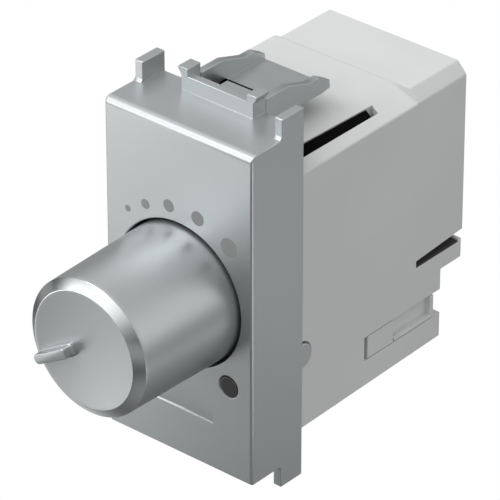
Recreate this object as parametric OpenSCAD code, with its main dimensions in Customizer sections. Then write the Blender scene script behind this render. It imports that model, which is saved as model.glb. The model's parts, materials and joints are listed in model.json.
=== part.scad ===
// Rotary dimmer switch, one module wide, for a wall plate's mounting frame.
// Origin: centre of the frame's window, in the plane where the lugs bear on the frame.
// X is width, Y runs from the room into the wall, Z is up. The knob turns about the Y axis.

/* [Front bezel] */
// Width of the one module front
bezel_w = 22.5; // [22.1:0.1:23.5]
// Height of the front
bezel_h = 44.8; // [44.2:0.1:46]
// Depth from the front face to the seat plane
bezel_d = 9.3; // [8.9:0.1:11]
// Thickness of the front wall
bezel_front_t = 1.6; // [1.2:0.1:1.9]
// Thickness of the bezel side walls
bezel_wall = 1.25; // [1.1:0.05:1.3]
// Radius of the upper front edge
top_edge_r = 1.0; // [0.5:0.1:1.2]
// Radius of the other outer edges
edge_r = 0.35; // [0.2:0.05:0.5]
// Width of the corner lugs and feet
lug_w = 1.25; // [1:0.05:1.6]
// Height of the upper corner lugs
lug_h = 2.65; // [2:0.05:3.2]
// Height of the lower corner feet
foot_h = 2.9; // [2:0.05:3.4]
// Depth of the lugs and feet
lug_d = 3.9; // [2.5:0.1:4.5]
// Size of the small slope at the front of each lug and foot
lug_foot = 0.35; // [0.2:0.05:0.5]
// Width of the recess under the knob
recess_w = 10.4; // [8:0.1:12]
// Height of the recess under the knob
recess_h = 1.55; // [1:0.05:2]
// Height of the recess centre below the shaft
recess_drop = 14.9; // [13.5:0.1:17]
// Depth of the recess
recess_t = 0.35; // [0.2:0.05:0.6]
// Radius of the half round side tabs that hold the bezel
tab_r = 1.6; // [1.2:0.1:2]
// Thickness of the side tabs
tab_t = 0.85; // [0.6:0.05:0.9]
// Height of the side tabs below the shaft
tab_drop = 8.65; // [5:0.05:11]

/* [Pilot window] */
// Distance of the pilot window from the bezel's right side
pilot_in = 3.59; // [3.45:0.02:3.85]
// Height of the pilot window below the shaft
pilot_drop = 9.86; // [9.6:0.02:11]
// Radius of the pilot window
pilot_r = 1.35; // [1.1:0.05:1.4]

/* [Knob] */
// Radius of the knob where it enters the bezel
knob_r = 9.2; // [8.8:0.05:9.3]
// Radius of the knob at its front edge
knob_front_r = 8.85; // [8.4:0.05:9]
// Radius of the flat of the front face
knob_face_r = 7.6; // [7:0.05:7.9]
// Depth of the bright front chamfer
knob_chamfer = 0.9; // [0.5:0.05:1.3]
// Reach of the knob in front of the bezel
knob_reach = 16.6; // [14:0.1:18]
// Length of skirt inside the bezel
knob_sink = 3.0; // [2.6:0.1:3.4]
// Radial gap between knob and bezel
knob_gap = 0.35; // [0.25:0.05:0.45]
// Thickness of the knob wall
knob_wall = 1.3; // [1:0.05:1.8]
// Hollow of the dished front face
knob_dish = 0.25; // [0.15:0.05:0.5]
// Number of ribs between hub and wall
knob_ribs = 6; // [4:1:8]
// Thickness of the knob ribs
rib_t = 0.9; // [0.6:0.05:1.2]
// Width of the pointer nib
nib_w = 1.3; // [1:0.05:1.6]
// Length of the pointer nib
nib_len = 5.5; // [4:0.1:6]
// Start of the nib from the knob axis
nib_in = 1.9; // [1.2:0.1:2.1]
// Height of the nib in front of the rim
nib_h = 1.3; // [0.6:0.05:1.6]
// Sideways offset of the nib from the knob's radius
nib_off = 0.4; // [0:0.05:0.6]
// Angle of the nib at rest, counter clockwise from the top
nib_turn = 120; // [90:1:150]

/* [Latch] */
// Half width of the clip wall on top of the bezel
clip_half = 5.5; // [5.3:0.05:6]
// Depth of the clip ears
clip_d = 2.3; // [1.8:0.05:2.6]
// Thickness of the clip wall between the ears
clip_t = 1.15; // [0.8:0.05:1.5]
// Height of the clip wall
clip_wall_h = 2.0; // [1.4:0.05:2.4]
// Height of the ears
ear_h = 3.0; // [2.6:0.05:3.4]
// Thickness of each ear
ear_t = 1.05; // [0.8:0.05:1.4]
// Outward flare of the ear tops
ear_flare = 0.5; // [0.2:0.05:0.7]
// Half width of the latch lever
lever_half = 5.45; // [5:0.05:5.45]
// Wall thickness of the lever
lever_t = 1.0; // [0.8:0.05:1.2]
// Length of the lever behind the seat plane
lever_len = 11.75; // [11:0.05:13]
// Height of the lever's front edge above the bezel top
lever_rise = 1.6; // [1.2:0.05:1.8]
// Height of the lever's tail above the bezel top
tail_rise = 0.4; // [0.2:0.05:0.6]
// Half width of the hinge knuckle
knuckle_half = 2.8; // [2.2:0.05:3.2]
// Radius of the rounded hinge knuckle
knuckle_r = 0.93; // [0.8:0.01:1]
// Distance of the pivot behind the seat plane
pivot_back = 1.95; // [1.75:0.05:2.05]
// Radius of the latch pin
pin_r = 0.5; // [0.4:0.02:0.55]
// Gap between lever and fixed parts
latch_gap = 0.35; // [0.25:0.05:0.45]

/* [Housing] */
// Length of the housing behind the seat plane
housing_len = 31.25; // [30.6:0.05:34]
// Set back of the housing's side behind the bezel's side
housing_in = 0.25; // [0.2:0.01:0.3]
// Width that the right side loses towards the rear
housing_taper = 0.3; // [0.2:0.02:0.4]
// Height of the housing's front top above the shaft
housing_top = 17.95; // [17.8:0.05:18.2]
// Drop of the rear top below the front top
top_step = 0.25; // [0.15:0.05:0.4]
// Depth where the front top begins to fall
ramp_y = 21.2; // [17:0.1:21.6]
// Depth where the rear top begins
step_y = 21.8; // [20:0.1:24]
// Width that the left side loses at the step
left_step = 0.25; // [0.1:0.05:0.3]
// Depth of the housing below the shaft at its front
housing_drop = 19.0; // [18.95:0.01:19.2]
// Rise of the underside towards the rear
under_rise = 0.25; // [0:0.05:0.3]
// Width of the wide front chamfer
chamfer_w = 5.4; // [5:0.05:5.6]
// Fall of the wide front chamfer for each millimetre
chamfer_fall = 0.37; // [0.35:0.005:0.4]
// Width of the steep rear chamfer
rear_chamfer_w = 1.9; // [1.7:0.05:2]
// Fall of the steep rear chamfer for each millimetre
rear_chamfer_fall = 1.08; // [0.9:0.02:1.2]
// Wall thickness of the housing top and bottom
housing_wall = 1.3; // [1.2:0.05:1.4]
// Wall thickness of the housing sides
side_wall = 1.1; // [1.05:0.01:1.2]
// Distance of the cooling slot from the inner side
vent_in = 0.4; // [0.25:0.05:0.5]
// Width of the cooling slot at its front end
vent_w = 1.7; // [1.6:0.05:1.8]
// Width of the cooling slot at its rear end
vent_rear_w = 1.25; // [1.1:0.05:1.4]
// Rear end of the cooling slot
vent_end = 16.5; // [12:0.1:19]
// Slant of the cooling slot's rear end
vent_skew = 0.4; // [0:0.1:0.6]
// Distance of the terminal end from the housing's rear end
foot_in = 4.2; // [3.6:0.1:4.6]
// Distance of the shelf's end from the housing's rear end
shelf_in = 0.2; // [0.1:0.1:1]
// Front end of the slot over the shelf
shelf_slot_y = 22.05; // [21.6:0.05:23]
// Height of the shelf slot's lower side, below the shaft
shelf_drop = 6.85; // [6.6:0.05:7]
// Height of the shelf slot at its front end
shelf_slot_h = 1.0; // [0.7:0.05:1.2]
// Thickness of the shelf at the sides
shelf_t = 2.4; // [2:0.05:2.6]
// Thickness of the black strip on the shelf
strip_t = 0.25; // [0.2:0.05:0.4]
// Length of the raised lip at the shelf's end
shelf_lip = 0.75; // [0.6:0.05:1]
// Front end of the side window
window_y = 12.1; // [11.8:0.1:12.6]
// Top of the side window below the shaft
window_top = 12.0; // [11.6:0.05:12.4]
// Bottom of the side window below the shaft
window_bottom = 15.4; // [15:0.05:15.8]

/* [Terminals] */
// Distance of the block's rear face inside the housing
block_in = 0.9; // [0.5:0.1:1.3]
// Distance of the block's front face behind the front board
block_gap = 1.8; // [1.4:0.1:2.4]
// Radius of the wire entries
wire_r = 1.5; // [1.2:0.05:1.6]
// Height of the wire entries below the shaft
wire_drop = 11.3; // [11.2:0.05:11.4]
// Depth of the wire entry wall
entry_t = 3.4; // [3:0.1:3.8]
// Distance of the screws from the block's rear face
screw_in = 6.5; // [6.2:0.1:6.8]
// Radius of the terminal screw's thread
screw_r = 1.5; // [1.2:0.05:1.6]
// Radius of the terminal screw's head
screw_head_r = 1.9; // [1.8:0.05:2]
// Height of the terminal screw's head
screw_head_h = 1.3; // [1:0.05:1.4]
// Wall between a cell and the middle of two terminals
cell_wall = 0.6; // [0.55:0.05:0.8]
// Side wall thickness of the clamping cage
cage_t = 0.65; // [0.5:0.05:0.8]
// Length of the clamping cage
cage_len = 5.0; // [4:0.1:5.2]
// Travel of the clamping cage
cage_travel = 1.75; // [1:0.05:1.8]
// Thickness of the contact bars
bar_t = 0.6; // [0.5:0.05:0.7]
// Half width of the contact bars
bar_half = 1.5; // [1:0.05:1.6]
// Length of the block's snap tongue
tongue_len = 4.9; // [4:0.1:5.2]

/* [Control] */
// Radius of the control shaft
shaft_r = 3.0; // [2.8:0.05:3.1]
// Distance of the shaft's flat from its axis
shaft_flat = 1.5; // [1.2:0.05:2]
// Travel of the knob when it is pushed
push_travel = 1.2; // [0.6:0.1:1.2]
// Running clearance round turning and sliding parts
run_gap = 0.05; // [0.03:0.01:0.08]
// Thickness of the carrier plate
plate_t = 1.8; // [1.4:0.1:2.2]
// Outer radius of the bushing
bush_r = 3.5; // [3.4:0.05:3.8]
// Reach of the bushing in front of the carrier plate
bush_reach = 4.4; // [4:0.1:4.8]
// Width across the flats of the bushing nut
nut_af = 9.0; // [8.6:0.1:10]
// Thickness of the bushing nut
nut_t = 1.8; // [1.5:0.1:2.2]
// Outer radius of the potentiometer
pot_r = 8.2; // [8:0.05:8.3]
// Depth of the potentiometer
pot_d = 7.0; // [6.9:0.1:7.4]
// Wall thickness of the potentiometer cup
pot_wall = 0.8; // [0.6:0.05:1]
// Thickness of the circuit boards
board_t = 1.2; // [1:0.1:1.4]
// Half side of the push switch
switch_half = 5.0; // [4.6:0.1:5]
// Length of the push switch
switch_len = 8.2; // [8:0.1:8.3]
// Wire radius of the return spring
spring_wire = 0.2; // [0.15:0.01:0.25]
// Coil radius of the return spring
spring_r = 2.2; // [1.9:0.05:2.5]
// Turns of the return spring
spring_turns = 5; // [4:1:6]

/* [Electronics] */
// Thickness of the heat sink plate
sink_t = 1.4; // [1:0.1:1.5]
// Distance of the heat sink's end from the housing's rear wall
sink_in = 1.8; // [1:0.1:3]
// Height of the heat sink's top edge
sink_top = 14.0; // [13:0.1:14.2]
// Distance of the cooling tongue's end from the slot's rear end
tongue_in = 1.2; // [0.6:0.1:3]
// Depth of the cooling tongue below the housing's surface
tongue_sink = 0.1; // [0.05:0.05:0.8]
// Gap between the choke and the electrolytic capacitor
choke_gap = 0.65; // [0.6:0.05:0.8]
// Section radius of the choke core
choke_core_r = 1.65; // [1.4:0.05:1.7]
// Wire radius of the choke winding
choke_wire_r = 0.27; // [0.2:0.01:0.27]
// Turns of the choke winding
choke_turns = 12; // [10:1:12]
// Gap between the film capacitor and the push switch
film_gap = 0.1; // [0.1:0.1:2]
// Gap between the film capacitor and the choke
film_choke_gap = 0.46; // [0.4:0.02:1.5]
// Height of the film capacitor above its board
film_h = 11.6; // [10:0.1:12]
// Radius of the electrolytic capacitor
can_r = 3.5; // [3:0.05:3.5]
// Gap between the electrolytic capacitor and the power switch
can_gap = 0.8; // [0.4:0.1:3]
// Radius of the round fuse
fuse_r = 4.2; // [3.8:0.05:4.2]
// Height of the round fuse above its board
fuse_h = 5.4; // [4.6:0.1:5.6]
// Half width of the controller chip
chip_half = 2.0; // [1.6:0.1:2.4]
// Height of the controller chip
chip_h = 3.8; // [3:0.1:4]
// Body thickness of the controller chip
chip_t = 1.45; // [1.1:0.05:1.6]
// Distance between the chip resistors
resistor_pitch = 1.2; // [1.1:0.05:1.25]

/* [Hidden] */
$fn = 48;

// Small overlap for clean cuts
cut = 0.5;
// Gap between neighbouring fixed pieces that only pass each other
slip = 0.1;
half_w = bezel_w / 2;
half_h = bezel_h / 2;
pilot_x = half_w - pilot_in;
front_y = -bezel_d;
inner_half_w = half_w - bezel_wall;
inner_half_h = half_h - bezel_wall;
hole_r = knob_r + knob_gap;

// Depths of the knob and shaft
knob_front_y = front_y - knob_reach;
knob_edge_y = knob_front_y + knob_chamfer;
knob_back_y = front_y + knob_sink;
knob_face_t = 1.5;
hub_r = shaft_r + 1.2;
hub_back_y = -plate_t - bush_reach - push_travel - 3.2;
ring_w = 1.2;
ring_y = hub_back_y - 0.8 - ring_w;
shaft_tip_y = knob_front_y + knob_face_t + 2;

// Depths of the potentiometer, from the plate's rear face at the seat plane
pot_front_t = 1.0;
bush_flange_r = bush_r + 1.5;
bush_back_y = pot_front_t + 0.8;
clip_y = bush_back_y + 0.3;
clip_ring_t = 0.4;
rotor_y = clip_y + clip_ring_t + push_travel + 0.3;
track_t = 0.12;
track_board_t = 0.9;
track_board_y = pot_d - track_board_t;
track_out_r = pot_r - pot_wall - 0.8;
track_w = 1.4;
track_mid_r = track_out_r - track_w / 2;
shaft_end_y = pot_d - push_travel - 0.4;
tip_r = 1.4;
board_y = pot_d;
board_back_y = board_y + board_t;
switch_wall_t = 1.6;
plunger_y = board_back_y + 0.35;
flange_y = board_back_y + switch_wall_t + 0.3;
flange_t = 0.9;
switch_back_y = board_back_y + switch_len;
switch_rear_t = 0.8;

// Heights and depths of the latch
bezel_top = half_h;
pivot_z = bezel_top - knuckle_r;
lever_top = bezel_top + lever_rise;
tail_top = bezel_top + tail_rise;
lever_floor_t = 0.7;
lever_bottom = pivot_z - knuckle_r;
lever_front_y = 0.1;
pin_skin = 0.35;

// Widths of the housing
housing_half_front = half_w - housing_in;
housing_half_rear = housing_half_front - housing_taper;
inside_half = housing_half_rear - side_wall;
chamfer_x = half_w - chamfer_w;
rear_chamfer_x = half_w - rear_chamfer_w;
vent_x1 = inside_half - vent_in;
vent_x0 = vent_x1 - vent_w;

// Heights and depths of the housing and terminals
foot_len = housing_len - foot_in;
shelf_len = housing_len - shelf_in;
inside_len = housing_len - housing_wall;
block_rear = foot_len - block_in;
block_front = board_back_y + block_gap;
terminal_pitch = inside_half / 1.5;
cage_half = terminal_pitch / 2 - cell_wall;
rear_top = housing_top - top_step;
inside_top = rear_top - housing_wall;
inside_bottom = -housing_drop + under_rise + housing_wall - 0.15;
shelf_z = -shelf_drop;
shelf_bottom = shelf_z - shelf_t;
partition_bottom = shelf_z - 1.15;
block_half = inside_half - slip;
block_top = partition_bottom - slip;
block_bottom = inside_bottom + slip;
wire_z = -wire_drop;
bar_top = wire_z - wire_r + 0.05;
bar_bottom = bar_top - bar_t;
screw_tip_z = bar_bottom - 0.15;
cage_floor_t = 1.0;
cage_bottom = bar_bottom - 0.25 - cage_floor_t;
cage_roof = wire_z + wire_r - 0.1;
cage_roof_t = 0.7;
cage_top = cage_roof + cage_roof_t;
cage_gap = 0.1;
cell_bottom = cage_bottom - cage_travel - cage_gap - 0.1;
screw_y = block_rear - screw_in;
head_top_z = block_bottom + 0.2;
terminal_xs = [-terminal_pitch, 0, terminal_pitch];

// Places of the boards and their parts
main_board_x = -inside_half + 0.7;
main_face_x = main_board_x + board_t;
board_half = inside_half - 0.2;
board_top = inside_top - 2;
board_bottom = inside_bottom + 1.1;
main_bottom = shelf_z + shelf_slot_h + housing_wall + 0.65;
sink_x = inside_half - 0.3 - sink_t;
sink_len = inside_len - sink_in;
pad_t = 0.3;
pad_x = sink_x - pad_t;
triac_tab_t = 1.3;
triac_body_t = 4.5;
triac_half = 5;
triac_z = inside_top - 6;
triac_lead_len = 2;
triac_body_len = 9;
triac_tab_len = 6.4;
triac_y = board_back_y + triac_lead_len;
triac_hole_y = triac_y + triac_body_len + 3.2;
triac_screw_r = 1.45;
screw_hole_r = triac_screw_r + 0.35;
can_h = pad_x - triac_body_t - can_gap - main_face_x;
can_y = board_back_y + can_r + 0.5;
film_back_y = inside_len - 0.3;
film_len = film_back_y - switch_back_y - film_gap;
led_r = pilot_r + 0.15;
led_len = 4.4;
fuse_x = -inside_half + 0.8 + fuse_r;
fuse_z = -pot_r - fuse_r - 0.4;
chip_z = pot_r + 1.7;
chip_pin_pitch = 0.9;

// Carries a profile of depth and height from x0 to x1
module across(x0, x1) translate([x0, 0, 0]) rotate([90, 0, 90]) linear_extrude(x1 - x0) children();

// Carries a profile of width and height from y0 to y1
module deep(y0, y1) translate([0, y1, 0]) rotate([90, 0, 0]) linear_extrude(y1 - y0) children();

// Carries a profile of width and depth from z0 to z1
module tall(z0, z1) translate([0, 0, z0]) linear_extrude(z1 - z0) children();

// Spins a profile of radius and depth about the shaft axis
module spin() rotate([-90, 0, 0]) rotate_extrude() children();

module block(x0, x1, y0, y1, z0, z1) translate([x0, y0, z0]) cube([x1 - x0, y1 - y0, z1 - z0]);

module rod_x(r, x0, x1, y, z) translate([x0, y, z]) rotate([0, 90, 0]) cylinder(r = r, h = x1 - x0);

module rod_y(r, y0, y1, x = 0, z = 0) translate([x, y0, z]) rotate([-90, 0, 0]) cylinder(r = r, h = y1 - y0);

module rod_z(r, z0, z1, x, y) translate([x, y, z0]) cylinder(r = r, h = z1 - z0);

// Waste outside a quarter round whose square corner is at the origin
module corner_waste(r) difference() {
  translate([-cut, -cut]) square(r + cut);
  translate([r, r]) circle(r);
}

// A hollow tube of profile between two radii and two depths
module tube_y(r_in, r_out, y0, y1) spin() translate([r_in, y0]) square([r_out - r_in, y1 - y0]);

// A round shaft section with a flat on its left side
module d_rod(r, flat, y0, y1) intersection() {
  rod_y(r, y0, y1);
  block(-flat, r + 1, y0 - cut, y1 + cut, -r - 1, r + 1);
}

// A tube of six sides swept along points, closed at both ends
function dir_at(p, i) = let (a = p[max(i - 1, 0)], b = p[min(i + 1, len(p) - 1)], d = b - a) d / norm(d);
function ring_at(p, i, r, up) = let (t = dir_at(p, i), s = cross(t, up), u = s / norm(s), v = cross(u, t))
  [for (k = [0:5]) p[i] + r * (cos(60 * k) * u + sin(60 * k) * v)];
module swept_tube(p, r, up) {
  n = len(p);
  pts = [for (i = [0:n - 1]) for (q = ring_at(p, i, r, up)) q];
  sides = [for (i = [0:n - 2]) for (k = [0:5]) let (a = 6 * i + k, b = 6 * i + (k + 1) % 6)
    for (f = [[a, b, b + 6], [a, b + 6, a + 6]]) f];
  start = [for (k = [1:4]) [0, k + 1, k]];
  end = [for (k = [1:4]) [6 * n - 6, 6 * n - 6 + k, 6 * n - 5 + k]];
  polyhedron(pts, concat(sides, start, end), convexity = 8);
}

// The bezel's outer solid, with a large round on its upper front edge
module bezel_outline() intersection() {
  across(-half_w, half_w) difference() {
    translate([front_y, -half_h]) square([bezel_d, bezel_h]);
    translate([front_y, half_h]) mirror([0, 1]) corner_waste(top_edge_r);
    translate([front_y, -half_h]) corner_waste(edge_r);
  }
  tall(-half_h, half_h) difference() {
    translate([-half_w, front_y]) square([bezel_w, bezel_d]);
    for (s = [0, 1]) mirror([s, 0]) translate([-half_w, front_y]) corner_waste(edge_r);
  }
}

// One ear of the clip wall, flared outwards at its top
module clip_ear() deep(-clip_d, 0) polygon([
  [clip_half - ear_t, half_h - edge_r],
  [clip_half, half_h - edge_r],
  [clip_half, half_h + ear_h - 1],
  [clip_half + ear_flare, half_h + ear_h - 0.3],
  [clip_half + ear_flare, half_h + ear_h],
  [clip_half - ear_t, half_h + ear_h],
]);

// The fixed hook under the bezel that holds behind the frame's lower edge
module lower_catch() across(-clip_half + 1, clip_half - 1) polygon([
  [-bezel_wall, -inner_half_h - 0.05],
  [4.6, -inner_half_h - 0.05],
  [4.6, -half_h - 0.2],
  [3.2, -half_h - 1.3],
  [1.5, -half_h - 1.3],
  [1.5, -half_h],
  [-bezel_wall, -half_h],
]);

module front_bezel() color("silver") {
  difference() {
    union() {
      difference() {
        bezel_outline();
        block(-inner_half_w, inner_half_w, front_y + bezel_front_t, cut, -inner_half_h, inner_half_h);
      }
      for (s = [0, 1]) mirror([s, 0, 0]) {
        block(half_w - lug_w, half_w, -lug_d, 0, half_h - edge_r - 0.2, half_h + lug_h);
        block(half_w - lug_w, half_w, -lug_d, 0, -half_h - foot_h, -half_h + edge_r + 0.2);
        for (t = [0, 1]) mirror([0, 0, t]) across(half_w - lug_w, half_w) polygon([
          [-lug_d - lug_foot, half_h - 0.05],
          [-lug_d - lug_foot, half_h],
          [-lug_d, half_h + lug_foot],
          [-lug_d + 0.1, half_h + lug_foot],
          [-lug_d + 0.1, half_h - 0.05],
        ]);
        rod_x(tab_r, half_w - tab_t, half_w, 0.1, -tab_drop);
        clip_ear();
        for (t = [0, 1]) mirror([0, 0, t])
          block(inner_half_w - 1.6, inner_half_w + 0.1, front_y + bezel_front_t - 0.1, -plate_t - slip,
            inner_half_h - 2.6, inner_half_h + 0.1);
      }
      block(-clip_half, clip_half, -clip_d, -clip_d + clip_t, half_h - edge_r, half_h + clip_wall_h);
      across(-knuckle_half, knuckle_half) union() {
        translate([pivot_back, pivot_z]) circle(knuckle_r);
        translate([0, pivot_z - knuckle_r]) square([pivot_back, 2 * knuckle_r]);
        translate([-0.2, inner_half_h]) square([0.4, half_h - inner_half_h]);
      }
      lower_catch();
    }
    rod_y(hole_r, front_y - cut, front_y + bezel_front_t + cut);
    rod_y(pilot_r + run_gap, front_y - cut, front_y + bezel_front_t + cut, pilot_x, -pilot_drop);
    across(-recess_w / 2, recess_w / 2) polygon([
      [front_y - cut, -recess_drop - recess_h / 2],
      [front_y + recess_t, -recess_drop - recess_h / 2],
      [front_y + 0.02, -recess_drop + recess_h / 2],
      [front_y - cut, -recess_drop + recess_h / 2],
    ]);
    rod_x(pin_r + run_gap / 2, -knuckle_half - cut, knuckle_half + cut, pivot_back, pivot_z);
  }
}

module pilot_lens() color("dimgray") {
  rod_y(pilot_r, front_y, front_y + bezel_front_t + 0.1, pilot_x, -pilot_drop);
  rod_y(pilot_r + 0.4, front_y + bezel_front_t + 0.02, front_y + bezel_front_t + 0.8, pilot_x, -pilot_drop);
}

module light_pipe() color("whitesmoke")
  rod_y(pilot_r - 0.15, front_y + bezel_front_t + 0.9, pot_d - led_len - 0.2, pilot_x, -pilot_drop);

// Cap wall of the knob: tapered outside, chamfered, with a dished front face
module knob_shell() spin() polygon(concat(
  [[0, knob_front_y + knob_dish]],
  [for (f = [0.2, 0.45, 0.72, 1]) [knob_face_r * f, knob_front_y + knob_dish * (1 - pow((f - 0.2) / 0.8, 2))]],
  [
    [knob_front_r, knob_edge_y],
    [knob_r, front_y],
    [knob_r, knob_back_y],
    [knob_r - knob_wall, knob_back_y],
    [knob_front_r - knob_wall, knob_edge_y + 1.2],
    [knob_front_r - knob_wall - 0.8, knob_front_y + knob_face_t + knob_dish],
    [0, knob_front_y + knob_face_t + knob_dish],
  ]
));

// Pointer nib: a raised bar with a round outer end
module nib() rotate([0, -nib_turn, 0])
  deep(knob_front_y - nib_h, knob_front_y + knob_face_t) translate([nib_off, nib_in]) union() {
    translate([-nib_w / 2, 0]) square([nib_w, nib_len - nib_w / 2]);
    translate([0, nib_len - nib_w / 2]) circle(nib_w / 2);
  }

module knob() color("silver") {
  knob_shell();
  nib();
  difference() {
    union() {
      rod_y(hub_r, knob_front_y + knob_face_t, hub_back_y);
      for (i = [0:knob_ribs - 1]) rotate([0, 360 * i / knob_ribs, 0])
        block(hub_r - 0.4, knob_front_r - knob_wall + 0.6, knob_front_y + knob_face_t, ring_y - 0.1,
          -rib_t / 2, rib_t / 2);
    }
    d_rod(shaft_r + run_gap, shaft_flat + run_gap, shaft_tip_y - 0.2, hub_back_y + cut);
  }
}

module knob_grip_ring() color("gainsboro")
  tube_y(hub_r + 0.02, hub_r + 0.5, ring_y, ring_y + ring_w);

// Side outline of the latch lever
module lever_side() polygon([
  [lever_front_y + 0.35, lever_bottom + 0.2],
  [lever_front_y, lever_bottom + 1.3],
  [lever_front_y, lever_top],
  [4.1, lever_top],
  [7.9, tail_top],
  [lever_len - 2.05, tail_top],
  [lever_len - 0.1, tail_top - 1.05],
  [lever_len, lever_bottom + 0.1],
  [lever_len - 1.5, lever_bottom - 0.1],
  [1, lever_bottom - 0.1],
]);

module latch_lever() color("silver") difference() {
  union() {
    for (s = [0, 1]) mirror([s, 0, 0]) across(lever_half - lever_t, lever_half) lever_side();
    across(-lever_half + 0.2, lever_half - 0.2) polygon([
      [lever_front_y + 0.35, lever_bottom],
      [lever_front_y + 0.35, lever_bottom + lever_floor_t - 0.1],
      [lever_len - 0.2, lever_bottom + lever_floor_t + 0.15],
      [lever_len - 0.1, lever_bottom],
    ]);
  }
  block(-knuckle_half - latch_gap, knuckle_half + latch_gap, -cut, pivot_back + knuckle_r + latch_gap,
    lever_bottom - cut, lever_top);
  rod_x(pin_r + run_gap, -lever_half + pin_skin, lever_half - pin_skin, pivot_back, pivot_z);
}

module latch_pin() color("gainsboro")
  rod_x(pin_r, -lever_half + pin_skin + run_gap, lever_half - pin_skin - run_gap, pivot_back, pivot_z);

// Bowed leaf spring between the housing's top and the lever's tail
module latch_spring() color("gainsboro") {
  low = housing_top + 0.02;
  high = lever_bottom - 0.15;
  t = 0.25;
  bow = [for (i = [0:8]) let (a = i / 8) [3 + 6.5 * a, low + (high - low - t) * (1 - cos(180 * a)) / 2]];
  across(-1.6, 1.6) polygon(concat(
    bow,
    [for (i = [8:-1:0]) bow[i] + [0, t]]
  ));
}

// Side outline of the housing, with the shelf over the terminals
module housing_side() polygon([
  [0, housing_top],
  [ramp_y, housing_top],
  [step_y, rear_top],
  [housing_len, rear_top],
  [housing_len, shelf_z + shelf_slot_h + 0.55],
  [shelf_slot_y, shelf_z + shelf_slot_h],
  [shelf_slot_y, shelf_z],
  [shelf_len - shelf_lip, shelf_z],
  [shelf_len - shelf_lip + 0.1, shelf_z + strip_t + 0.1],
  [shelf_len - 0.15, shelf_z + strip_t + 0.1],
  [shelf_len, shelf_z + strip_t - 0.1],
  [shelf_len, shelf_bottom],
  [foot_len, shelf_bottom],
  [foot_len, -housing_drop + under_rise],
  [0, -housing_drop],
]);

// Cross section of the housing with a chamfer on its right top edge
module housing_section(x, top, fall) polygon([
  [-half_w, -housing_drop - cut],
  [half_w, -housing_drop - cut],
  [half_w, top - (half_w - x) * fall],
  [x, top],
  [-half_w, top],
]);

module housing_outside() intersection() {
  tall(-housing_drop - cut, housing_top + cut) polygon([
    [-housing_half_front - left_step, 0],
    [housing_half_front, 0],
    [housing_half_rear, housing_len],
    [-housing_half_rear, housing_len],
    [-housing_half_rear - 0.05, step_y],
    [-housing_half_front - left_step, step_y],
  ]);
  across(-half_w, half_w) housing_side();
  union() {
    deep(0, step_y) housing_section(chamfer_x, housing_top, chamfer_fall);
    deep(step_y, housing_len) housing_section(rear_chamfer_x, rear_top, rear_chamfer_fall);
  }
}

// Space inside the housing for the boards and the control
module housing_inside() intersection() {
  across(-inside_half, inside_half) polygon([
    [-cut, inside_top],
    [inside_len, inside_top],
    [inside_len, shelf_z + shelf_slot_h + 0.55 + housing_wall],
    [shelf_slot_y - housing_wall, shelf_z + shelf_slot_h + housing_wall],
    [shelf_slot_y - housing_wall, shelf_z],
    [block_front - 0.6, shelf_z],
    [block_front - 0.6, inside_bottom],
    [-cut, inside_bottom],
  ]);
  deep(-cut, housing_len) polygon([
    [-inside_half, inside_bottom - cut],
    [inside_half, inside_bottom - cut],
    [inside_half, inside_top - 1.8],
    [inside_half - 3.4, inside_top],
    [-inside_half, inside_top],
  ]);
}

// Plan of the cooling slot up to the depth end, drawn in at its sides by gap
function vent_left(y) = vent_x0 + (vent_w - vent_rear_w) * y / vent_end;
module vent_plan(gap, end) polygon([
  [vent_left(0) + gap, -cut],
  [vent_x1 - gap, -cut],
  [vent_x1 - gap, end - vent_skew],
  [vent_left(end) + gap, end],
]);

module housing_shell() color("whitesmoke") difference() {
  housing_outside();
  housing_inside();
  block(-inside_half, inside_half, block_front - 0.7, shelf_len + cut, inside_bottom, partition_bottom);
  tall(inside_top - 3, housing_top) vent_plan(0, vent_end);
  for (s = [0, 1]) mirror([s, 0, 0]) {
    block(inside_half - cut, half_w, window_y, foot_len + cut, -window_bottom, -window_top);
    rod_x(tab_r + 0.15, half_w - tab_t - 0.15, half_w + cut, 0.1, -tab_drop);
  }
  for (x = terminal_xs) rod_z(screw_head_r + 0.2, -housing_drop - cut, inside_bottom + cut, x, screw_y);
}

// Black insulating strip that lies on the shelf, in front of its lip
module slot_strip() color("dimgray")
  block(-housing_half_rear, housing_half_rear, shelf_slot_y + slip, shelf_len - shelf_lip - slip,
    shelf_z + 0.02, shelf_z + strip_t);

module carrier_plate() color("gainsboro") difference() {
  union() {
    block(-inner_half_w + 0.15, inner_half_w - 0.15, -plate_t, 0, -inner_half_h + 0.15, inner_half_h - 0.15);
    for (s = [0, 1]) mirror([0, 0, s]) for (z = [13, 17])
      block(-inner_half_w + 2.2, inner_half_w - 2.2, -plate_t - 1.2, -plate_t + 0.1, z, z + 1);
  }
  rod_y(bush_r + run_gap, -plate_t - cut, cut);
  rod_y(pilot_r, -plate_t - 2, cut, pilot_x, -pilot_drop);
}

// One terminal's cell, wire entry, screw hole and bar slot
module terminal_cell(x) {
  block(x - cage_half - cage_gap, x + cage_half + cage_gap, screw_y - cage_len / 2 - 0.4, block_rear - entry_t,
    cell_bottom, block_top + cut);
  rod_y(wire_r, block_rear - entry_t - cut, block_rear + cut, x, wire_z);
  translate([x, block_rear - 0.4, wire_z]) rotate([-90, 0, 0])
    cylinder(r1 = wire_r, r2 = wire_r + 0.5, h = 0.5);
  rod_z(screw_r + 0.15, block_bottom - cut, cell_bottom + cut, x, screw_y);
  rod_z(screw_head_r + 0.15, block_bottom - cut, head_top_z + 0.1, x, screw_y);
  block(x - bar_half - 0.05, x + bar_half + 0.05, block_front - cut, screw_y, bar_bottom - 0.05, bar_top + 0.05);
}

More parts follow.
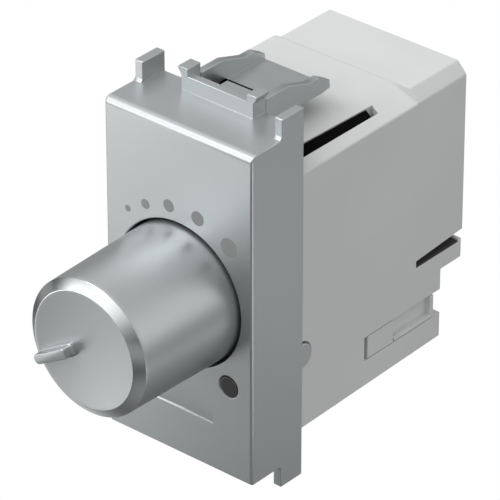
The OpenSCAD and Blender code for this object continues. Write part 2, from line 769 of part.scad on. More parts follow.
// One snap tongue with the hollow behind it, at the right side
module side_tongue() {
  y0 = window_y + 0.7;
  y1 = y0 + tongue_len;
  face = housing_half_rear + 0.12;
  block(block_half - 0.3, face, y1 - 1.2, block_rear - 0.6, -window_bottom + 0.15, -window_top - 0.15);
  block(face - 1.0, face, y0, y1, -window_bottom + 0.15, -window_top - 0.15);
}

module terminal_block() color("whitesmoke") difference() {
  union() {
    block(-block_half, block_half, block_front, block_rear, block_bottom, block_top);
    for (s = [0, 1]) mirror([s, 0, 0]) side_tongue();
  }
  for (x = terminal_xs) terminal_cell(x);
  for (s = [0, 1]) mirror([s, 0, 0]) {
    block(block_half - 0.8, housing_half_rear - 0.88, block_front - cut, window_y + tongue_len - 0.5,
      -window_bottom - 0.1, -window_top + 0.1);
    block(housing_half_rear - 1.4, half_w, window_y + tongue_len + 0.7, window_y + tongue_len + 0.92,
      -window_bottom, -window_top);
    translate([housing_half_rear + 0.12, 0, 0]) tall(-window_bottom + 0.6, -window_top) polygon([
      [0.2, window_y + tongue_len + 0.75],
      [-0.7, window_y + tongue_len + 0.95],
      [-0.7, block_rear - 1.4],
      [0.2, block_rear - 1.1],
    ]);
  }
}

module contact_bars() color("goldenrod") for (x = terminal_xs) {
  block(x - bar_half, x + bar_half, board_back_y, block_rear - entry_t - 0.1, bar_bottom, bar_top);
  block(x - 0.5, x + 0.5, board_y - 0.5, board_back_y + 0.1, bar_bottom, bar_top);
}

module clamp_cage(x) color("silver") difference() {
  block(x - cage_half, x + cage_half, screw_y - cage_len / 2, screw_y + cage_len / 2, cage_bottom, cage_top);
  block(x - cage_half + cage_t, x + cage_half - cage_t, screw_y - cage_len, screw_y + cage_len,
    cage_bottom + cage_floor_t, cage_roof);
  rod_z(screw_r + run_gap, cage_bottom - cut, cage_bottom + cage_floor_t + cut, x, screw_y);
}

module terminal_screw(x) color("silver") difference() {
  union() {
    rod_z(screw_head_r, head_top_z - screw_head_h, head_top_z, x, screw_y);
    rod_z(screw_r, head_top_z - cut, screw_tip_z, x, screw_y);
  }
  block(x - screw_head_r - cut, x + screw_head_r + cut, screw_y - 0.3, screw_y + 0.3,
    head_top_z - screw_head_h - cut, head_top_z - screw_head_h + 0.6);
}

module clamp_cage_1() clamp_cage(terminal_xs[0]);
module clamp_cage_2() clamp_cage(terminal_xs[1]);
module clamp_cage_3() clamp_cage(terminal_xs[2]);
module terminal_screw_1() terminal_screw(terminal_xs[0]);
module terminal_screw_2() terminal_screw(terminal_xs[1]);
module terminal_screw_3() terminal_screw(terminal_xs[2]);

module control_shaft() color("silver") difference() {
  union() {
    rod_y(shaft_r, hub_back_y + 0.4, rotor_y - 0.05 - push_travel);
    d_rod(shaft_r, shaft_flat, shaft_tip_y, hub_back_y + cut);
    d_rod(shaft_r, shaft_flat, rotor_y - 0.15 - push_travel, shaft_end_y);
    rod_y(tip_r, shaft_end_y - cut, plunger_y - 0.05);
  }
  tube_y(shaft_r - 0.4, shaft_r + 1, clip_y - 0.03, clip_y + clip_ring_t + 0.03);
}

module shaft_clip() color("gainsboro") difference() {
  tube_y(shaft_r - 0.38, shaft_r + 1.1, clip_y, clip_y + clip_ring_t);
  block(-1, 1, clip_y - cut, clip_y + 1, 0, shaft_r + 2);
}

module bushing() color("goldenrod") spin() polygon([
  [shaft_r + run_gap, -plate_t - bush_reach],
  [bush_r - 0.3, -plate_t - bush_reach],
  [bush_r, -plate_t - bush_reach + 0.4],
  [bush_r, pot_front_t + 0.02],
  [bush_flange_r, pot_front_t + 0.02],
  [bush_flange_r, bush_back_y],
  [shaft_r + run_gap, bush_back_y],
]);

module bushing_nut() color("silver") difference() {
  rotate([0, 30, 0]) translate([0, -plate_t - 0.4 - nut_t, 0]) rotate([-90, 0, 0])
    cylinder(r = nut_af / sqrt(3), h = nut_t, $fn = 6);
  rod_y(bush_r + run_gap, -plate_t - 5, 0);
}

module bushing_washer() color("silver") tube_y(bush_r + 0.1, bush_r + 1.6, -plate_t - 0.4, -plate_t);

module pot_cup() color("dimgray") difference() {
  spin() polygon([
    [bush_r + run_gap, 0],
    [pot_r - 0.5, 0],
    [pot_r, 0.5],
    [pot_r, pot_d],
    [pot_r - pot_wall, pot_d],
    [pot_r - pot_wall, pot_front_t],
    [bush_r + run_gap, pot_front_t],
  ]);
  for (a = [0:90:270]) rotate([0, a + 45, 0]) block(pot_r - 0.35, pot_r + 1, 1, pot_d + cut, -1, 1);
}

module wiper_rotor() color("ivory") difference() {
  union() {
    rod_y(pot_r - pot_wall - 0.5, rotor_y, rotor_y + 1);
    rod_y(shaft_r + 1, rotor_y + 0.9, shaft_end_y);
  }
  d_rod(shaft_r + run_gap, shaft_flat + run_gap, rotor_y - cut, pot_d);
}

module wiper_contact() color("goldenrod") rotate([0, -nib_turn, 0]) {
  block(-1.1, 1.1, rotor_y + 1, rotor_y + 1.2, shaft_r + 1.3, pot_r - pot_wall - 0.8);
  for (x = [-0.8, 0.4]) block(x, x + 0.4, rotor_y + 1.1, track_board_y - track_t - 0.2,
    track_mid_r - 0.3, track_mid_r + 0.3);
}

module track_board() color("saddlebrown") difference() {
  rod_y(pot_r - pot_wall - 0.05, track_board_y, pot_d);
  rod_y(shaft_r + 0.3, 0, pot_d + cut);
}

module resistive_track() color("black") difference() {
  tube_y(track_out_r - track_w, track_out_r, track_board_y - track_t, track_board_y);
  translate([0, track_board_y, 0]) rotate([90, 0, 0]) linear_extrude(1)
    polygon([[0, track_w - track_mid_r], [0.6 * pot_r, -pot_r], [-0.6 * pot_r, -pot_r]]);
}

module pot_pins() color("silver") for (x = [-2.5, 0, 2.5])
  block(x - 0.4, x + 0.4, pot_d, board_back_y + 0.4, -6.3, -5.8);

module switch_body() color("darkslategray") difference() {
  block(-switch_half, switch_half, board_back_y, switch_back_y, -switch_half, switch_half);
  block(-switch_half + 0.8, switch_half - 0.8, board_back_y + switch_wall_t, switch_back_y - switch_rear_t,
    -switch_half + 0.8, switch_half - 0.8);
  rod_y(tip_r + 0.2 + run_gap, board_back_y - cut, board_back_y + switch_wall_t + cut);
  for (x = [-3.6, 3.6]) block(x - 0.25, x + 0.25, board_back_y - cut, board_back_y + switch_wall_t + cut, -0.85, 0.85);
}

module switch_plunger() color("ivory") {
  rod_y(tip_r + 0.2, plunger_y, flange_y + 0.1);
  rod_y(spring_r + 0.9, flange_y, flange_y + flange_t);
  rod_y(spring_r - spring_wire - 0.5, flange_y, flange_y + flange_t + 1.8);
}

module return_spring() color("gainsboro") {
  y0 = flange_y + flange_t + spring_wire + 0.05;
  y1 = switch_back_y - switch_rear_t - spring_wire - 0.05;
  steps = 12 * spring_turns;
  swept_tube([for (i = [0:steps]) let (a = 30 * i)
    [spring_r * cos(a), y0 + (y1 - y0) * i / steps, spring_r * sin(a)]], spring_wire, [0, 1, 0]);
}

module switch_contacts() color("goldenrod") for (x = [-3.6, 3.6])
  block(x - 0.2, x + 0.2, board_y + 0.1, switch_back_y - 2.5, -0.8, 0.8);

module front_board() color("darkgreen") difference() {
  block(-board_half, board_half, board_y, board_back_y, board_bottom, board_top);
  rod_y(tip_r + 0.5, board_y - cut, board_back_y + cut);
  for (x = [-2.5, 0, 2.5]) block(x - 0.5, x + 0.5, board_y - cut, board_back_y + cut, -6.4, -5.7);
  for (x = [-3.6, 3.6]) block(x - 0.3, x + 0.3, board_y - cut, board_back_y + cut, -0.9, 0.9);
  for (x = terminal_xs) block(x - 0.6, x + 0.6, board_y - cut, board_back_y + cut, bar_bottom - 0.1, bar_top + 0.1);
}

module main_board() color("darkgreen")
  block(main_board_x, main_face_x, board_back_y, inside_len - 0.2, main_bottom, inside_top - 0.3);

module indicator_led() color("whitesmoke") {
  rod_y(led_r, pot_d - led_len + led_r, pot_d, pilot_x, -pilot_drop);
  intersection() {
    translate([pilot_x, pot_d - led_len + led_r, -pilot_drop]) sphere(led_r);
    block(pilot_x - led_r, pilot_x + led_r, 0, pot_d - led_len + led_r + 0.1, -pilot_drop - led_r, -pilot_drop + led_r);
  }
}

module triac() color("dimgray") {
  block(pad_x - triac_body_t, pad_x, triac_y, triac_y + triac_body_len, triac_z - triac_half, triac_z + triac_half);
  difference() {
    block(pad_x - triac_tab_t, pad_x, triac_y + triac_body_len - 0.1, triac_y + triac_body_len + triac_tab_len,
      triac_z - triac_half, triac_z + triac_half);
    rod_x(screw_hole_r, pad_x - 3, pad_x + 1, triac_hole_y, triac_z);
  }
  for (z = [-2.54, 0, 2.54]) block(pad_x - 2.7, pad_x - 2.2, board_back_y, triac_y + 0.1,
    triac_z + z - 0.4, triac_z + z + 0.4);
}

// Black heat sink: a plate on the power switch, with a tongue that fills the cooling slot
module heat_sink() color("dimgray") {
  x0 = vent_x0 + slip;
  x1 = vent_x1 - slip;
  tongue_end = vent_end - tongue_in;
  difference() {
    block(sink_x, sink_x + sink_t, board_back_y, sink_len, main_bottom, sink_top);
    rod_x(triac_screw_r + run_gap, sink_x - 1, sink_x + sink_t + 1, triac_hole_y, triac_z);
  }
  intersection() {
    deep(0.3, tongue_end) polygon([
      [x0, board_top + 0.25],
      [x1, board_top + 0.25],
      [x1, tongue_z(x1)],
      [x0, tongue_z(x0)],
    ]);
    tall(board_top, housing_top) vent_plan(slip, tongue_end);
  }
  block(vent_left(tongue_end) + slip, x1, board_back_y + slip, tongue_end, sink_top - 0.1, board_top + 0.4);
}
function tongue_z(x) = housing_top - (x - chamfer_x) * chamfer_fall - tongue_sink;

module insulating_pad() color("lightsteelblue") difference() {
  block(pad_x, sink_x, triac_y - 0.5, triac_y + triac_body_len + triac_tab_len + 0.6,
    triac_z - triac_half - 0.4, sink_top - 0.2);
  rod_x(screw_hole_r, pad_x - 1, sink_x + 1, triac_hole_y, triac_z);
}

module triac_screw() color("silver") difference() {
  union() {
    rod_x(triac_screw_r, pad_x - triac_tab_t - 0.5, sink_x + sink_t, triac_hole_y, triac_z);
    rod_x(1.8 * triac_screw_r, pad_x - triac_tab_t - 1.8, pad_x - triac_tab_t, triac_hole_y, triac_z);
  }
  block(pad_x - triac_tab_t - 2.4, pad_x - triac_tab_t - 1, triac_hole_y - 3, triac_hole_y + 3,
    triac_z - 0.35, triac_z + 0.35);
}

// The ring choke lies flat against the main board
choke_reach = (inside_len - can_y - can_r - choke_gap - 0.1) / 2;
choke_path_r = choke_core_r + choke_wire_r + 0.28;
choke_ring_r = choke_reach - choke_path_r - choke_wire_r;
choke_x = main_face_x + choke_path_r + choke_wire_r + 0.15;
choke_y = inside_len - choke_reach - 0.1;
choke_z = inside_top - choke_reach - 0.5;
film_t = choke_z - choke_reach - film_choke_gap - main_bottom;

module choke_core() color("darkolivegreen") translate([choke_x, choke_y, choke_z]) rotate([0, 90, 0])
  rotate_extrude() translate([choke_ring_r, 0]) circle(choke_core_r);

module choke_winding() color("peru") {
  steps = 14 * choke_turns;
  around = 345 / steps;
  swept_tube([for (i = [0:steps]) let (a = around * i, b = 360 * i / 14,
    r = choke_ring_r + choke_path_r * cos(b))
    [choke_x + choke_path_r * sin(b), choke_y + r * cos(a), choke_z + r * sin(a)]], choke_wire_r, [1, 0.02, 0.03]);
}

module film_capacitor() color("khaki")
  block(main_face_x, main_face_x + film_h, film_back_y - film_len, film_back_y, main_bottom, main_bottom + film_t);

module can_capacitor() color("midnightblue")
  rod_x(can_r, main_face_x, main_face_x + can_h, can_y, switch_half + can_r + 0.9);

module round_fuse() color("dimgray") {
  back = board_y - 0.9;
  rod_y(fuse_r, back - fuse_h, back, fuse_x, fuse_z);
  for (x = [-2.5, 2.5]) rod_y(0.3, back - 0.1, board_y, fuse_x + x, fuse_z - 1.5);
}

module controller_chip() color("dimgray") {
  block(-chip_half, chip_half, board_y - 0.15 - chip_t, board_y - 0.15, chip_z, chip_z + chip_h);
  for (s = [0, 1]) mirror([s, 0, 0]) for (i = [-1.5:1.5]) {
    z = chip_z + chip_h / 2 + i * chip_pin_pitch - 0.2;
    block(chip_half - 0.1, chip_half + 0.9, board_y - 0.4, board_y, z, z + 0.4);
  }
}

module chip_resistors() color("darkslategray")
  for (i = [0:3]) {
    z = chip_z + 0.1 + i * resistor_pitch;
    block(chip_half + 2.5, chip_half + 4.1, board_y - 0.5, board_y, z - 0.4, z + 0.4);
  }

front_bezel();
pilot_lens();
light_pipe();
knob();
knob_grip_ring();
latch_lever();
latch_pin();
latch_spring();
housing_shell();
slot_strip();
carrier_plate();
terminal_block();
contact_bars();
clamp_cage_1();
clamp_cage_2();
clamp_cage_3();
terminal_screw_1();
terminal_screw_2();
terminal_screw_3();
control_shaft();
shaft_clip();
bushing();
bushing_nut();
bushing_washer();
pot_cup();
wiper_rotor();
wiper_contact();
track_board();
resistive_track();
pot_pins();
switch_body();
switch_plunger();
return_spring();
switch_contacts();
front_board();
main_board();
indicator_led();
triac();
heat_sink();
insulating_pad();
triac_screw();
choke_core();
choke_winding();
film_capacitor();
can_capacitor();
round_fuse();
controller_chip();
chip_resistors();
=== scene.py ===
import json
import math

import bmesh
import bpy
from mathutils import Matrix, Vector

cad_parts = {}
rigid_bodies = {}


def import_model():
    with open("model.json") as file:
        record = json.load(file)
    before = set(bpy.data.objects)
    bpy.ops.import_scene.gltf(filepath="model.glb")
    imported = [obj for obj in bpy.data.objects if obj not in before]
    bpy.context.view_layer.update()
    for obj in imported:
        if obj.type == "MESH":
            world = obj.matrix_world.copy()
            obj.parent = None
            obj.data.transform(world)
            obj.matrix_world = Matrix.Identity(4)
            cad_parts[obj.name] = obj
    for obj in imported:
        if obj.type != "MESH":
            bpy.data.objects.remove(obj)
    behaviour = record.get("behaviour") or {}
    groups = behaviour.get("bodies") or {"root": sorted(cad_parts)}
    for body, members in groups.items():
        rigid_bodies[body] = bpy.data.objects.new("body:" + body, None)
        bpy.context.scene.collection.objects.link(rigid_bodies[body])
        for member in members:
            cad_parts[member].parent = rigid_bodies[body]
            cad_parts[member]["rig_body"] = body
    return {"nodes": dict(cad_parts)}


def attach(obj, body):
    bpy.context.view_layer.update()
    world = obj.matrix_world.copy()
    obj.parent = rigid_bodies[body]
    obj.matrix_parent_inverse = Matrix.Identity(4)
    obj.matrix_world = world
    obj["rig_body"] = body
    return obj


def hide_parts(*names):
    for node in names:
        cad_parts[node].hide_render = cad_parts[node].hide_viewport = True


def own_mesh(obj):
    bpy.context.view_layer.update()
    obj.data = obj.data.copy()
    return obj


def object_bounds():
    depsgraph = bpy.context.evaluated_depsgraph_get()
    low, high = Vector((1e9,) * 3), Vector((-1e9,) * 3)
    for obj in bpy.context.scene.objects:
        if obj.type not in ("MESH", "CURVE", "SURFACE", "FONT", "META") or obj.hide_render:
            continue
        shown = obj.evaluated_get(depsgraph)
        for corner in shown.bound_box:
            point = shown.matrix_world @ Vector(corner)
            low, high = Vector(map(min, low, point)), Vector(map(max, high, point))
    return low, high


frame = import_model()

cad_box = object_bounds()

# Studio. A white sweep under a sky of soft panels, with glowing cards laid on the floor round the object as painted
# light from below, and one key lamp, as for a catalogue picture of a small plastic part. The camera stands where the
# photograph was taken: 40 degrees to the right of the front and 31 degrees above it.
scene = bpy.context.scene
scene.view_settings.view_transform = "Standard"

view_right = Vector((0.76186, 0.64774, 0.0))
view_up = Vector((-0.33288, 0.39153, 0.85784))
view_back = Vector((0.55566, -0.65356, 0.51392))
eye_right, eye_up, eye_back = 0.008363, 0.005077, 0.527696
front_face_y = -0.0093
camera_data = bpy.data.cameras.new("camera")
camera_data.sensor_width = 36
camera_data.lens = 324
camera_data.clip_start = 0.02
camera_data.clip_end = 20
camera = bpy.data.objects.new("camera", camera_data)
scene.collection.objects.link(camera)
eye = Vector((0, front_face_y, 0)) + eye_right * view_right + eye_up * view_up + eye_back * view_back
turn = Matrix((view_right, view_up, view_back)).transposed().to_4x4()
camera.matrix_world = Matrix.Translation(eye) @ turn
scene.camera = camera


def add_node(tree, kind, links=None, **settings):
    """Adds a node. A link's key is an input's name or number, and its value a socket or a plain value."""
    node = tree.nodes.new(kind)
    for name, value in settings.items():
        setattr(node, name, value)
    for key, value in (links or {}).items():
        if isinstance(value, bpy.types.NodeSocket):
            tree.links.new(value, node.inputs[key])
        else:
            node.inputs[key].default_value = value
    return node


def srgb(hex_code):
    """Linear colour of an sRGB hex value."""
    parts = [int(hex_code[i : i + 2], 16) / 255 for i in (1, 3, 5)]
    return [c / 12.92 if c <= 0.04045 else ((c + 0.055) / 1.055) ** 2.4 for c in parts]


def sees_backdrop(tree):
    """A factor of 1 where the eye or a clear piece sees the backdrop, and a trace of it where polish reflects it."""
    trace = 0.02
    paths = add_node(tree, "ShaderNodeLightPath")
    clear = add_node(tree, "ShaderNodeMath",
                     {0: paths.outputs["Is Camera Ray"], 1: paths.outputs["Is Transmission Ray"]}, operation="MAXIMUM")
    polish = add_node(tree, "ShaderNodeMath", {0: paths.outputs["Is Glossy Ray"], 1: trace}, operation="MULTIPLY")
    seen = add_node(tree, "ShaderNodeMath", {0: clear.outputs[0], 1: polish.outputs[0]}, operation="MAXIMUM")
    return seen.outputs[0]


floor_drop, floor_half = 0.075, 6
floor_z = cad_box[0].z - floor_drop
floor_mesh = bpy.data.meshes.new("floor")
floor_mesh.from_pydata([(x * floor_half, y * floor_half, floor_z) for x, y in ((-1, -1), (1, -1), (1, 1), (-1, 1))],
                       [], [(0, 1, 2, 3)])
floor = bpy.data.objects.new("floor", floor_mesh)
scene.collection.objects.link(floor)

# White paper, dim to the object but for the cards on it, which glow: painted light that lights the object from below.
# Each card has a direction in degrees, a distance and a radius in metres, and a strength that fades to its rim. Past
# far_start the whole floor glows too, more and more, as painted light.
glowing_floor_cards = ((225, 0.3, 0.088, 4.8), (215, 0.17, 0.088, 0.96), (235, 0.23, 0.088, 0.88), (0, 0.21, 0.11, 2.66),
               (45, 0.21, 0.11, 0.67), (180, 0.1, 0.11, 0.6), (315, 0.1, 0.11, 0.2), (45, 0.1, 0.11, 0.16))
far_start, far_end, far_strength = 0.2, 0.45, 0.25
floor_paint = bpy.data.materials.new("white sweep")
floor_paint.use_nodes = True
tree = floor_paint.node_tree
tree.nodes.clear()
place = add_node(tree, "ShaderNodeTexCoord")
far = add_node(tree, "ShaderNodeVectorMath", {0: place.outputs["Object"], 1: (0, 0, floor_z)}, operation="DISTANCE")
floor_glow = add_node(tree, "ShaderNodeMapRange",
                 {"Value": far.outputs["Value"], "From Min": far_start, "From Max": far_end, "To Min": 0.0,
                  "To Max": far_strength}, interpolation_type="SMOOTHSTEP")
for direction, distance, radius, strength in glowing_floor_cards:
    a = math.radians(direction)
    middle = (distance * math.cos(a), distance * math.sin(a), floor_z)
    near = add_node(tree, "ShaderNodeVectorMath", {0: place.outputs["Object"], 1: middle}, operation="DISTANCE")
    glow_card = add_node(tree, "ShaderNodeMapRange",
                    {"Value": near.outputs["Value"], "From Min": 0.0, "From Max": radius, "To Min": strength,
                     "To Max": 0.0}, interpolation_type="SMOOTHSTEP")
    floor_glow = add_node(tree, "ShaderNodeMath", {0: floor_glow.outputs[0], 1: glow_card.outputs[0]}, operation="ADD")
paper = add_node(tree, "ShaderNodeBsdfDiffuse", {"Color": (*srgb("#595959"), 1)})
# The glow of the cards and the far floor, painted light that lights the object from below.
bounce = add_node(tree, "ShaderNodeEmission", {"Strength": floor_glow.outputs[0]})
lit = add_node(tree, "ShaderNodeAddShader", {0: paper.outputs[0], 1: bounce.outputs[0]})
glow = add_node(tree, "ShaderNodeEmission", {"Color": (1, 1, 1, 1), "Strength": 1.0})
mix = add_node(tree, "ShaderNodeMixShader", {0: sees_backdrop(tree), 1: lit.outputs[0], 2: glow.outputs[0]})
add_node(tree, "ShaderNodeOutputMaterial", {"Surface": mix.outputs[0]})
floor_mesh.materials.append(floor_paint)

# The sky's soft panels. Each has a direction and a height in degrees, a tightness and a strength.
sky_panels = ((230, 8, 40, 3.5), (260, 8, 40, 0.52), (260, 28, 40, 0.42), (0, 90, 12, 1.06), (270, 42, 12, 1.0),
              (150, 42, 12, 0.77), (30, 42, 12, 0.3), (330, 42, 12, 0.32), (45, 7, 12, 1.05))
world = bpy.data.worlds.new("studio")
scene.world = world
world.use_nodes = True
tree = world.node_tree
tree.nodes.clear()
way = add_node(tree, "ShaderNodeTexCoord")
light = 0.0
for direction, height, tightness, strength in sky_panels:
    a, b = math.radians(direction), math.radians(height)
    panel = (math.cos(a) * math.cos(b), math.sin(a) * math.cos(b), math.sin(b))
    facing = add_node(tree, "ShaderNodeVectorMath", {0: way.outputs["Generated"], 1: panel}, operation="DOT_PRODUCT")
    share = add_node(tree, "ShaderNodeMath", {0: facing.outputs["Value"], 1: 0.5, 2: 0.5}, operation="MULTIPLY_ADD")
    share = add_node(tree, "ShaderNodeMath", {0: share.outputs[0], 1: float(tightness)}, operation="POWER")
    light = add_node(tree, "ShaderNodeMath", {0: share.outputs[0], 1: strength, 2: light},
                     operation="MULTIPLY_ADD").outputs[0]
soft = add_node(tree, "ShaderNodeBackground", {"Color": (1, 1, 1, 1), "Strength": light})
white = add_node(tree, "ShaderNodeBackground", {"Color": (1, 1, 1, 1), "Strength": 1.0})
mix = add_node(tree, "ShaderNodeMixShader", {0: sees_backdrop(tree), 1: soft.outputs[0], 2: white.outputs[0]})
add_node(tree, "ShaderNodeOutputWorld", {"Surface": mix.outputs[0]})

key_place, key_width, key_watts = Vector((-0.313, -0.447, 0.716)), 0.45, 2.2
key_data = bpy.data.lights.new("key lamp", "AREA")
key_data.shape = "SQUARE"
key_data.size = key_width
key_data.energy = key_watts
key_lamp = bpy.data.objects.new("key lamp", key_data)
scene.collection.objects.link(key_lamp)
key_lamp.location = key_place
key_lamp.rotation_mode = "QUATERNION"
key_lamp.rotation_quaternion = key_place.to_track_quat("Z", "Y")

# Front bezel. The silver front of ABS plastic, painted with fine metal flake, with its lugs, feet, clip wall,
# side tabs and the knuckle of the latch moulded in one. Its edges keep the small round of the mould, and a shallow
# recess lies under the knob.


def flake_paint(name, colour, roughness, flake, speck_mm=0.16):
    """Metallic paint on plastic: a soft sheen, with a fine uneven sparkle from the flakes.

    Real flakes are about 0.02 mm wide, and speck_mm draws them coarser for them to show. The slow clouds in the tone
    are those of a sprayed coat.
    """
    clouds_mm, tone_swing, rough_swing = 11.11, 0.02, 0.02
    material = bpy.data.materials.new(name)
    material.use_nodes = True
    tree = material.node_tree
    shader = tree.nodes["Principled BSDF"]
    shader.inputs["Metallic"].default_value = flake
    shader.inputs["IOR"].default_value = 1.5
    place = add_node(tree, "ShaderNodeTexCoord")
    speck = add_node(tree, "ShaderNodeTexNoise",
                     {"Vector": place.outputs["Object"], "Scale": 1000 / speck_mm, "Detail": 2.0})
    cloud = add_node(tree, "ShaderNodeTexNoise",
                     {"Vector": place.outputs["Object"], "Scale": 1000 / clouds_mm, "Detail": 2.0})
    both = add_node(tree, "ShaderNodeMath", {0: speck.outputs[0], 1: cloud.outputs[0]}, operation="ADD")
    level = add_node(tree, "ShaderNodeMapRange",
                     {"Value": both.outputs[0], "From Min": 0.7, "From Max": 1.3, "To Min": 1 - tone_swing,
                      "To Max": 1 + tone_swing})
    tint = add_node(tree, "ShaderNodeVectorMath", {0: srgb(colour), "Scale": level.outputs[0]}, operation="SCALE")
    tree.links.new(tint.outputs[0], shader.inputs["Base Color"])
    rough = add_node(tree, "ShaderNodeMapRange",
                     {"Value": speck.outputs[0], "From Min": 0.3, "From Max": 0.7,
                      "To Min": roughness - rough_swing, "To Max": roughness + rough_swing})
    tree.links.new(rough.outputs[0], shader.inputs["Roughness"])
    bump = add_node(tree, "ShaderNodeBump", {"Height": speck.outputs[0], "Strength": 0.1, "Distance": 0.000004})
    tree.links.new(bump.outputs[0], shader.inputs["Normal"])
    return material


def cut_box(mesh, low, high):
    """The mesh with a box between two corners in millimetres cut out of it."""
    form = bmesh.new()
    bmesh.ops.create_cube(form, size=1)
    for vert in form.verts:
        vert.co = [((a + b) / 2 + (b - a) * c) / 1000 for a, b, c in zip(low, high, vert.co)]
    box = bpy.data.meshes.new("cutter")
    form.to_mesh(box)
    form.free()
    whole = bpy.data.objects.new("whole", mesh)
    cutter = bpy.data.objects.new("cutter", box)
    scene.collection.objects.link(whole)
    scene.collection.objects.link(cutter)
    cut = whole.modifiers.new("opening", "BOOLEAN")
    cut.operation = "DIFFERENCE"
    cut.solver = "EXACT"
    cut.object = cutter
    opened = bpy.data.meshes.new_from_object(whole.evaluated_get(bpy.context.evaluated_depsgraph_get()))
    bpy.data.objects.remove(whole)
    bpy.data.objects.remove(cutter)
    return opened


def rounded_copy(node, name, width, material, fine=(), segments=3, opening=None, split=None, reshape=None):
    """The CAD node's shape as one clean mesh, with its sharp edges rounded and its flat faces kept flat.

    fine holds boxes in millimetres, each with the share of the round that the edges inside it keep. opening is a
    box in millimetres that is cut out. split is a box where each long edge gets a corner in its middle. reshape
    takes a corner in millimetres and gives its place in the piece.
    """
    sharp, inner_share, long_edge = math.radians(28), 0.35, 0.008
    weld, same_plane = 2e-6, math.radians(0.5)
    source = frame["nodes"][node]
    mesh = source.data.copy()
    mesh.materials.clear()
    mesh.materials.append(material)
    if opening:
        mesh = cut_box(mesh, *opening)
    form = bmesh.new()
    form.from_mesh(mesh)
    bmesh.ops.remove_doubles(form, verts=form.verts, dist=weld)
    bmesh.ops.dissolve_limit(form, angle_limit=same_plane, verts=form.verts, edges=form.edges)
    if split:
        inside = [e for e in form.edges if e.calc_length() > long_edge and
                  all(a <= 1000 * c <= b for v in e.verts for a, c, b in zip(split[0], v.co, split[1]))]
        bmesh.ops.subdivide_edges(form, edges=inside, cuts=1, use_grid_fill=True)
    if reshape:
        for vert in form.verts:
            vert.co = reshape(vert.co * 1000) / 1000
    bmesh.ops.remove_doubles(form, verts=form.verts, dist=weld)
    for face in form.faces:
        face.smooth = True
        face.material_index = 0
    share = form.edges.layers.float.new("bevel_weight_edge")
    for edge in form.edges:
        if edge.calc_face_angle(0) < sharp:
            continue
        edge[share] = 1.0 if edge.is_convex else inner_share
        middle = 1000 * (edge.verts[0].co + edge.verts[1].co) / 2
        for low, high, kept in fine:
            if all(a <= m <= b for a, m, b in zip(low, middle, high)):
                edge[share] *= kept
    form.to_mesh(mesh)
    form.free()
    if "custom_normal" in mesh.attributes:
        mesh.attributes.remove(mesh.attributes["custom_normal"])
    piece = bpy.data.objects.new(name, mesh)
    scene.collection.objects.link(piece)
    bevel = piece.modifiers.new("rounded edges", "BEVEL")
    bevel.width = width
    bevel.segments = segments
    bevel.limit_method = "WEIGHT"
    bevel.use_clamp_overlap = False
    bevel.miter_outer = "MITER_ARC"
    flat = piece.modifiers.new("flat faces", "WEIGHTED_NORMAL")
    flat.mode = "FACE_AREA"
    flat.weight = 100
    made = bpy.data.meshes.new_from_object(piece.evaluated_get(bpy.context.evaluated_depsgraph_get()))
    piece.modifiers.clear()
    piece.data = made
    made.name = name
    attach(piece, source["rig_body"])
    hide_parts(node)
    return piece


recess_low, recess_high = (-5.5, -9.4, -16), (5.5, -8.5, -13.8)


def recess_scoop(corner):
    """Makes the recess a shallow scoop, deepest in its middle and flush at its top, with a slanted lower lip."""
    front, top, bottom = -9.3, -14.0, -16.0
    deepest, lost_at_ends, half_width, slack = 0.19, 0.1, 5.2, 0.01
    if abs(corner.x) < recess_high[0] and corner.y < recess_high[1] and recess_low[2] < corner.z < recess_high[2]:
        upper, outer = corner.z > top - 0.5, corner.y < front + slack
        depth = 0 if upper or outer else deepest - lost_at_ends * abs(corner.x) / half_width
        corner.y = front + depth
        corner.z = top if upper else bottom + depth
    return corner


# The flakes lie flat in the lacquer, so the paint looks like dull silver that darkens gently away from the light.
silver_paint = flake_paint("silver painted ABS", "#BEC2C3", 0.36, flake=0.85)
bezel_round = 0.00018
bezel_fine = [((-5.5, -9.4, -16.1), recess_high, 0.15), ((-12, -3, 22.5), (12, 0.1, 26), 0.55)]
bezel = rounded_copy("front_bezel", "silver_bezel", bezel_round, silver_paint, bezel_fine,
                     split=(recess_low, recess_high), reshape=recess_scoop)

# Hinge knuckle. The squared back of the knuckle that carries the latch's pin, moulded with the bezel and painted
# with it. It shows in the gap at the lever's hinge.


def new_piece(name, form, materials, body):
    """Makes the bmesh an object of the body, with its faces pointing outwards."""
    bmesh.ops.recalc_face_normals(form, faces=form.faces)
    mesh = bpy.data.meshes.new(name)
    form.to_mesh(mesh)
    form.free()
    for material in materials:
        mesh.materials.append(material)
    piece = bpy.data.objects.new(name, mesh)
    scene.collection.objects.link(piece)
    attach(piece, body)
    return piece


knuckle_half = 2.79
knuckle_line = [(0.3, 21.2), (0.3, 22.39), (2.7, 22.39), (2.88, 22.36), (2.98, 22.28), (3.02, 22.15), (3.02, 21.6),
                (2.7, 21.2)]
rounded_sides = (2, 3, 4)
knuckle_form = bmesh.new()
ends = [[knuckle_form.verts.new((x / 1000, y / 1000, z / 1000)) for y, z in knuckle_line]
        for x in (-knuckle_half, knuckle_half)]
for i in range(len(knuckle_line)):
    j = (i + 1) % len(knuckle_line)
    side = knuckle_form.faces.new((ends[0][i], ends[0][j], ends[1][j], ends[1][i]))
    side.smooth = i in rounded_sides
for end in ends:
    knuckle_form.faces.new(end)
new_piece("hinge_knuckle", knuckle_form, [silver_paint], "chassis")

# Latch lever. A small channel of the same painted ABS, hung on a steel pin in the bezel's knuckle. Its floor falls
# to the tail, and starts a little way behind the knuckle.


def tray_floor(corner):
    """Tilts the top of the lever's floor, between its walls and behind the hinge."""
    half_width, lowest, highest, hinge_end = 4.46, 21.12, 21.45, 3
    floor_height, fall = 21.52, 0.032
    if abs(corner.x) < half_width and lowest < corner.z < highest and corner.y > hinge_end:
        corner.z = floor_height - fall * corner.y
    return corner


